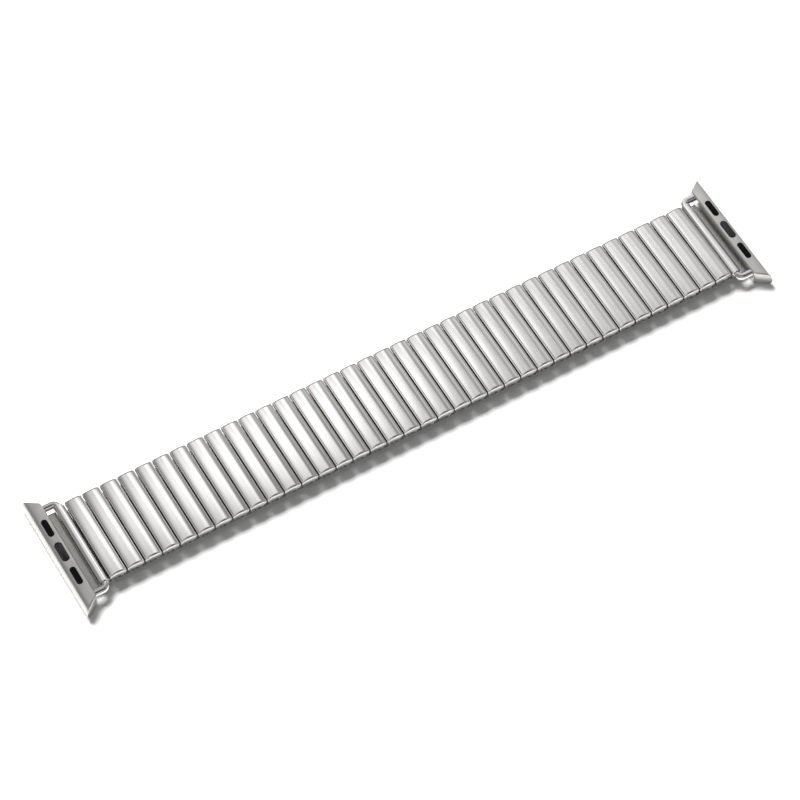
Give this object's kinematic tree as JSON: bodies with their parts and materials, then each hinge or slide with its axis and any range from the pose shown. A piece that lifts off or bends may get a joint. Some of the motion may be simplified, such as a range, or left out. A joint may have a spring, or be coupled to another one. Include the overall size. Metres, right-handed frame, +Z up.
{
  "type": "expansion watch bracelet",
  "caption": "Flat expansion bracelet of sprung metal links with domed covers, and a hinged slide-in lug fitting with rubber pads and a latch button at each end.",
  "frame": {"origin": "under the middle link, on the face that the flat band lies on, midway across it", "axes": "+X runs along the band to its right end, +Y across it to the far side, +Z up out of the domed covers"},
  "size_m": [0.1468, 0.0268, 0.0036],
  "materials": {
    "polished_steel": "polished stainless steel",
    "blasted_steel": "fine blasted stainless steel",
    "pad_rubber": "matte black rubber",
    "latch_plastic": "dark glossy button",
    "spring_steel": "spring steel strip"
  },
  "bodies": {
    "link_01": {"link_01": "polished_steel"},
    "link_02": {"link_02": "polished_steel"},
    "link_03": {"link_03": "polished_steel"},
    "link_04": {"link_04": "polished_steel"},
    "link_05": {"link_05": "polished_steel"},
    "link_06": {"link_06": "polished_steel"},
    "link_07": {"link_07": "polished_steel"},
    "link_08": {"link_08": "polished_steel"},
    "link_09": {"link_09": "polished_steel"},
    "link_10": {"link_10": "polished_steel"},
    "link_11": {"link_11": "polished_steel"},
    "link_12": {"link_12": "polished_steel"},
    "link_13": {"link_13": "polished_steel"},
    "link_14": {"link_14": "polished_steel"},
    "link_15": {"link_15": "polished_steel"},
    "link_16": {"link_16": "polished_steel"},
    "link_17": {"link_17": "polished_steel"},
    "link_18": {"link_18": "polished_steel"},
    "link_19": {"link_19": "polished_steel"},
    "link_20": {"link_20": "polished_steel"},
    "link_21": {"link_21": "polished_steel"},
    "link_22": {"link_22": "polished_steel"},
    "link_23": {"link_23": "polished_steel"},
    "link_24": {"link_24": "polished_steel"},
    "link_25": {"link_25": "polished_steel"},
    "link_26": {"link_26": "polished_steel"},
    "link_27": {"link_27": "polished_steel"},
    "link_28": {"link_28": "polished_steel"},
    "link_29": {"link_29": "polished_steel"},
    "link_30": {"link_30": "polished_steel"},
    "link_31": {"link_31": "polished_steel"},
    "link_32": {"link_32": "polished_steel"},
    "link_33": {"link_33": "polished_steel"},
    "link_34": {"link_34": "polished_steel"},
    "link_35": {"link_35": "polished_steel"},
    "link_36": {"link_36": "polished_steel"},
    "link_37": {"link_37": "polished_steel"},
    "end_staples_right": {"end_staples_right": "polished_steel"},
    "end_link_right": {"end_link_right": "polished_steel"},
    "lug_fitting_right": {"lug_fitting_right": "blasted_steel", "wire_loop_right": "polished_steel", "grip_pads_right": "pad_rubber", "latch_spring_right": "spring_steel"},
    "latch_button_right": {"latch_button_right": "latch_plastic"},
    "end_staples_left": {"end_staples_left": "polished_steel"},
    "end_link_left": {"end_link_left": "polished_steel"},
    "lug_fitting_left": {"lug_fitting_left": "blasted_steel", "wire_loop_left": "polished_steel", "grip_pads_left": "pad_rubber", "latch_spring_left": "spring_steel"},
    "latch_button_left": {"latch_button_left": "latch_plastic"}
  },
  "joints": [
    {"name": "bend_right_01", "type": "hinge", "parent": "link_19", "child": "link_20", "pos_m": [0.0036, 0, 0.00075], "axis": [0, 1, 0], "range_deg": [-2, 6.5]},
    {"name": "bend_right_02", "type": "hinge", "parent": "link_20", "child": "link_21", "pos_m": [0.0072, 0, 0.00075], "axis": [0, 1, 0], "range_deg": [-2, 6.5]},
    {"name": "bend_right_03", "type": "hinge", "parent": "link_21", "child": "link_22", "pos_m": [0.0108, 0, 0.00075], "axis": [0, 1, 0], "range_deg": [-2, 6.5]},
    {"name": "bend_right_04", "type": "hinge", "parent": "link_22", "child": "link_23", "pos_m": [0.0144, 0, 0.00075], "axis": [0, 1, 0], "range_deg": [-2, 6.5]},
    {"name": "bend_right_05", "type": "hinge", "parent": "link_23", "child": "link_24", "pos_m": [0.018, 0, 0.00075], "axis": [0, 1, 0], "range_deg": [-2, 6.5]},
    {"name": "bend_right_06", "type": "hinge", "parent": "link_24", "child": "link_25", "pos_m": [0.0216, 0, 0.00075], "axis": [0, 1, 0], "range_deg": [-2, 6.5]},
    {"name": "bend_right_07", "type": "hinge", "parent": "link_25", "child": "link_26", "pos_m": [0.0252, 0, 0.00075], "axis": [0, 1, 0], "range_deg": [-2, 6.5]},
    {"name": "bend_right_08", "type": "hinge", "parent": "link_26", "child": "link_27", "pos_m": [0.0288, 0, 0.00075], "axis": [0, 1, 0], "range_deg": [-2, 6.5]},
    {"name": "bend_right_09", "type": "hinge", "parent": "link_27", "child": "link_28", "pos_m": [0.0324, 0, 0.00075], "axis": [0, 1, 0], "range_deg": [-2, 6.5]},
    {"name": "bend_right_10", "type": "hinge", "parent": "link_28", "child": "link_29", "pos_m": [0.036, 0, 0.00075], "axis": [0, 1, 0], "range_deg": [-2, 6.5]},
    {"name": "bend_right_11", "type": "hinge", "parent": "link_29", "child": "link_30", "pos_m": [0.0396, 0, 0.00075], "axis": [0, 1, 0], "range_deg": [-2, 6.5]},
    {"name": "bend_right_12", "type": "hinge", "parent": "link_30", "child": "link_31", "pos_m": [0.0432, 0, 0.00075], "axis": [0, 1, 0], "range_deg": [-2, 6.5]},
    {"name": "bend_right_13", "type": "hinge", "parent": "link_31", "child": "link_32", "pos_m": [0.0468, 0, 0.00075], "axis": [0, 1, 0], "range_deg": [-2, 6.5]},
    {"name": "bend_right_14", "type": "hinge", "parent": "link_32", "child": "link_33", "pos_m": [0.0504, 0, 0.00075], "axis": [0, 1, 0], "range_deg": [-2, 6.5]},
    {"name": "bend_right_15", "type": "hinge", "parent": "link_33", "child": "link_34", "pos_m": [0.054, 0, 0.00075], "axis": [0, 1, 0], "range_deg": [-2, 6.5]},
    {"name": "bend_right_16", "type": "hinge", "parent": "link_34", "child": "link_35", "pos_m": [0.0576, 0, 0.00075], "axis": [0, 1, 0], "range_deg": [-2, 6.5]},
    {"name": "bend_right_17", "type": "hinge", "parent": "link_35", "child": "link_36", "pos_m": [0.0612, 0, 0.00075], "axis": [0, 1, 0], "range_deg": [-2, 6.5]},
    {"name": "bend_right_18", "type": "hinge", "parent": "link_36", "child": "link_37", "pos_m": [0.0648, 0, 0.00075], "axis": [0, 1, 0], "range_deg": [-2, 6.5]},
    {"name": "stretch_right_staples", "type": "hinge", "parent": "link_37", "child": "end_staples_right", "pos_m": [0.06576, 0, 0.00227], "axis": [0, -1, 0], "range_deg": [0, 20], "stiffness_Nm_per_rad": 0.01, "springref_deg": -2.86},
    {"name": "stretch_right_end_link", "type": "hinge", "parent": "end_staples_right", "child": "end_link_right", "pos_m": [0.06576, 0, 0.00075], "axis": [0, -1, 0], "range_deg": [-20, 0]},
    {"name": "lug_swivel_right", "type": "hinge", "parent": "end_link_right", "child": "lug_fitting_right", "pos_m": [0.06767, 0, 0.0023], "axis": [0, 1, 0], "range_deg": [-60, 75]},
    {"name": "latch_press_right", "type": "slide", "parent": "lug_fitting_right", "child": "latch_button_right", "axis": [0, 0, -1], "range_m": [0, 0.0006], "stiffness_N_per_m": 600, "springref_m": -0.0005, "deforming": ["latch_spring_right"]},
    {"name": "bend_left_01", "type": "hinge", "parent": "link_19", "child": "link_18", "pos_m": [-0.0036, 0, 0.00075], "axis": [0, -1, 0], "range_deg": [-2, 6.5]},
    {"name": "bend_left_02", "type": "hinge", "parent": "link_18", "child": "link_17", "pos_m": [-0.0072, 0, 0.00075], "axis": [0, -1, 0], "range_deg": [-2, 6.5]},
    {"name": "bend_left_03", "type": "hinge", "parent": "link_17", "child": "link_16", "pos_m": [-0.0108, 0, 0.00075], "axis": [0, -1, 0], "range_deg": [-2, 6.5]},
    {"name": "bend_left_04", "type": "hinge", "parent": "link_16", "child": "link_15", "pos_m": [-0.0144, 0, 0.00075], "axis": [0, -1, 0], "range_deg": [-2, 6.5]},
    {"name": "bend_left_05", "type": "hinge", "parent": "link_15", "child": "link_14", "pos_m": [-0.018, 0, 0.00075], "axis": [0, -1, 0], "range_deg": [-2, 6.5]},
    {"name": "bend_left_06", "type": "hinge", "parent": "link_14", "child": "link_13", "pos_m": [-0.0216, 0, 0.00075], "axis": [0, -1, 0], "range_deg": [-2, 6.5]},
    {"name": "bend_left_07", "type": "hinge", "parent": "link_13", "child": "link_12", "pos_m": [-0.0252, 0, 0.00075], "axis": [0, -1, 0], "range_deg": [-2, 6.5]},
    {"name": "bend_left_08", "type": "hinge", "parent": "link_12", "child": "link_11", "pos_m": [-0.0288, 0, 0.00075], "axis": [0, -1, 0], "range_deg": [-2, 6.5]},
    {"name": "bend_left_09", "type": "hinge", "parent": "link_11", "child": "link_10", "pos_m": [-0.0324, 0, 0.00075], "axis": [0, -1, 0], "range_deg": [-2, 6.5]},
    {"name": "bend_left_10", "type": "hinge", "parent": "link_10", "child": "link_09", "pos_m": [-0.036, 0, 0.00075], "axis": [0, -1, 0], "range_deg": [-2, 6.5]},
    {"name": "bend_left_11", "type": "hinge", "parent": "link_09", "child": "link_08", "pos_m": [-0.0396, 0, 0.00075], "axis": [0, -1, 0], "range_deg": [-2, 6.5]},
    {"name": "bend_left_12", "type": "hinge", "parent": "link_08", "child": "link_07", "pos_m": [-0.0432, 0, 0.00075], "axis": [0, -1, 0], "range_deg": [-2, 6.5]},
    {"name": "bend_left_13", "type": "hinge", "parent": "link_07", "child": "link_06", "pos_m": [-0.0468, 0, 0.00075], "axis": [0, -1, 0], "range_deg": [-2, 6.5]},
    {"name": "bend_left_14", "type": "hinge", "parent": "link_06", "child": "link_05", "pos_m": [-0.0504, 0, 0.00075], "axis": [0, -1, 0], "range_deg": [-2, 6.5]},
    {"name": "bend_left_15", "type": "hinge", "parent": "link_05", "child": "link_04", "pos_m": [-0.054, 0, 0.00075], "axis": [0, -1, 0], "range_deg": [-2, 6.5]},
    {"name": "bend_left_16", "type": "hinge", "parent": "link_04", "child": "link_03", "pos_m": [-0.0576, 0, 0.00075], "axis": [0, -1, 0], "range_deg": [-2, 6.5]},
    {"name": "bend_left_17", "type": "hinge", "parent": "link_03", "child": "link_02", "pos_m": [-0.0612, 0, 0.00075], "axis": [0, -1, 0], "range_deg": [-2, 6.5]},
    {"name": "bend_left_18", "type": "hinge", "parent": "link_02", "child": "link_01", "pos_m": [-0.0648, 0, 0.00075], "axis": [0, -1, 0], "range_deg": [-2, 6.5]},
    {"name": "stretch_left_staples", "type": "hinge", "parent": "link_01", "child": "end_staples_left", "pos_m": [-0.06576, 0, 0.00227], "axis": [0, 1, 0], "range_deg": [0, 20], "stiffness_Nm_per_rad": 0.01, "springref_deg": -2.86},
    {"name": "stretch_left_end_link", "type": "hinge", "parent": "end_staples_left", "child": "end_link_left", "pos_m": [-0.06576, 0, 0.00075], "axis": [0, 1, 0], "range_deg": [-20, 0]},
    {"name": "lug_swivel_left", "type": "hinge", "parent": "end_link_left", "child": "lug_fitting_left", "pos_m": [-0.06767, 0, 0.0023], "axis": [0, -1, 0], "range_deg": [-60, 75]},
    {"name": "latch_press_left", "type": "slide", "parent": "lug_fitting_left", "child": "latch_button_left", "axis": [0, 0, -1], "range_m": [0, 0.0006], "stiffness_N_per_m": 600, "springref_m": -0.0005, "deforming": ["latch_spring_left"]}
  ],
  "couplings": [
    {"joint": "bend_right_02", "follows": "bend_right_01", "ratio": 1},
    {"joint": "bend_right_03", "follows": "bend_right_01", "ratio": 1},
    {"joint": "bend_right_04", "follows": "bend_right_01", "ratio": 1},
    {"joint": "bend_right_05", "follows": "bend_right_01", "ratio": 1},
    {"joint": "bend_right_06", "follows": "bend_right_01", "ratio": 1},
    {"joint": "bend_right_08", "follows": "bend_right_07", "ratio": 1},
    {"joint": "bend_right_09", "follows": "bend_right_07", "ratio": 1},
    {"joint": "bend_right_10", "follows": "bend_right_07", "ratio": 1},
    {"joint": "bend_right_11", "follows": "bend_right_07", "ratio": 1},
    {"joint": "bend_right_12", "follows": "bend_right_07", "ratio": 1},
    {"joint": "bend_right_14", "follows": "bend_right_13", "ratio": 1},
    {"joint": "bend_right_15", "follows": "bend_right_13", "ratio": 1},
    {"joint": "bend_right_16", "follows": "bend_right_13", "ratio": 1},
    {"joint": "bend_right_17", "follows": "bend_right_13", "ratio": 1},
    {"joint": "bend_right_18", "follows": "bend_right_13", "ratio": 1},
    {"joint": "stretch_right_end_link", "follows": "stretch_right_staples", "ratio": -1},
    {"joint": "bend_left_02", "follows": "bend_left_01", "ratio": 1},
    {"joint": "bend_left_03", "follows": "bend_left_01", "ratio": 1},
    {"joint": "bend_left_04", "follows": "bend_left_01", "ratio": 1},
    {"joint": "bend_left_05", "follows": "bend_left_01", "ratio": 1},
    {"joint": "bend_left_06", "follows": "bend_left_01", "ratio": 1},
    {"joint": "bend_left_08", "follows": "bend_left_07", "ratio": 1},
    {"joint": "bend_left_09", "follows": "bend_left_07", "ratio": 1},
    {"joint": "bend_left_10", "follows": "bend_left_07", "ratio": 1},
    {"joint": "bend_left_11", "follows": "bend_left_07", "ratio": 1},
    {"joint": "bend_left_12", "follows": "bend_left_07", "ratio": 1},
    {"joint": "bend_left_14", "follows": "bend_left_13", "ratio": 1},
    {"joint": "bend_left_15", "follows": "bend_left_13", "ratio": 1},
    {"joint": "bend_left_16", "follows": "bend_left_13", "ratio": 1},
    {"joint": "bend_left_17", "follows": "bend_left_13", "ratio": 1},
    {"joint": "bend_left_18", "follows": "bend_left_13", "ratio": 1},
    {"joint": "stretch_left_staples", "follows": "stretch_right_staples", "ratio": 1},
    {"joint": "stretch_left_end_link", "follows": "stretch_right_staples", "ratio": -1}
  ]
}
